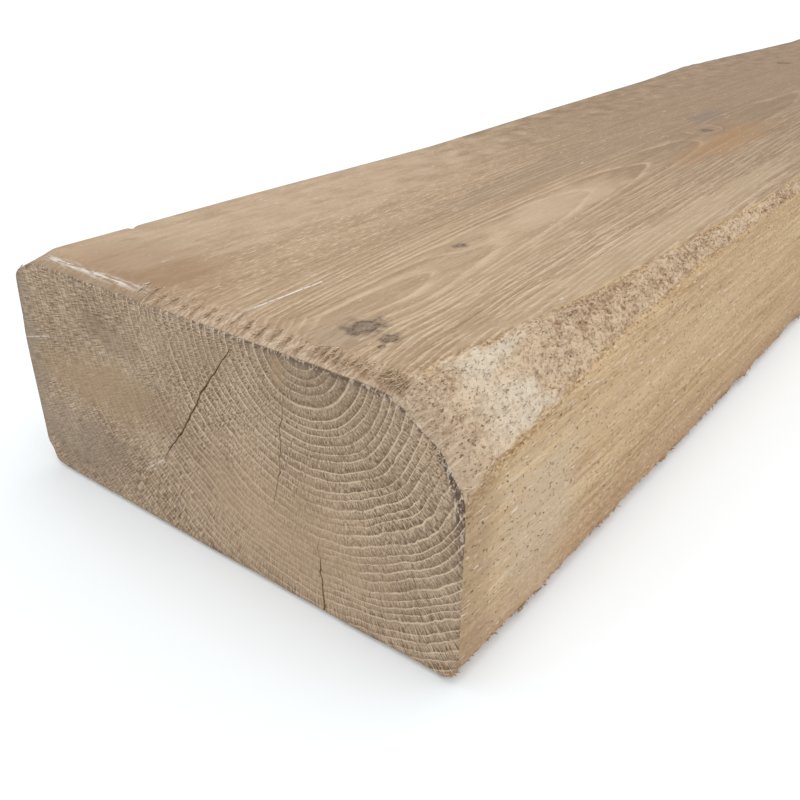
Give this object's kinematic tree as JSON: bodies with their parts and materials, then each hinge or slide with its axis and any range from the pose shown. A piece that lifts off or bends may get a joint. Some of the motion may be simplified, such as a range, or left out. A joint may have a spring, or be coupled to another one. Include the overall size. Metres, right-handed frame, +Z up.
{
  "type": "timber beam",
  "caption": "Short length of reclaimed solid oak beam, sawn flat on all sides, with a waney bark-side corner, worn arrises and drying checks in its ends.",
  "frame": {"origin": "middle of the underside, on the floor the beam lies on", "axes": "+X along the grain towards the plain end, +Y to the back, +Z up; the waney show edge is at -Y"},
  "size_m": [1.2, 0.22, 0.1],
  "materials": {
    "oak": "bare weathered oak, dry and matt, saw marks and torn fibres left as they are"
  },
  "bodies": {
    "root": {"oak_beam": "oak"}
  },
  "joints": []
}
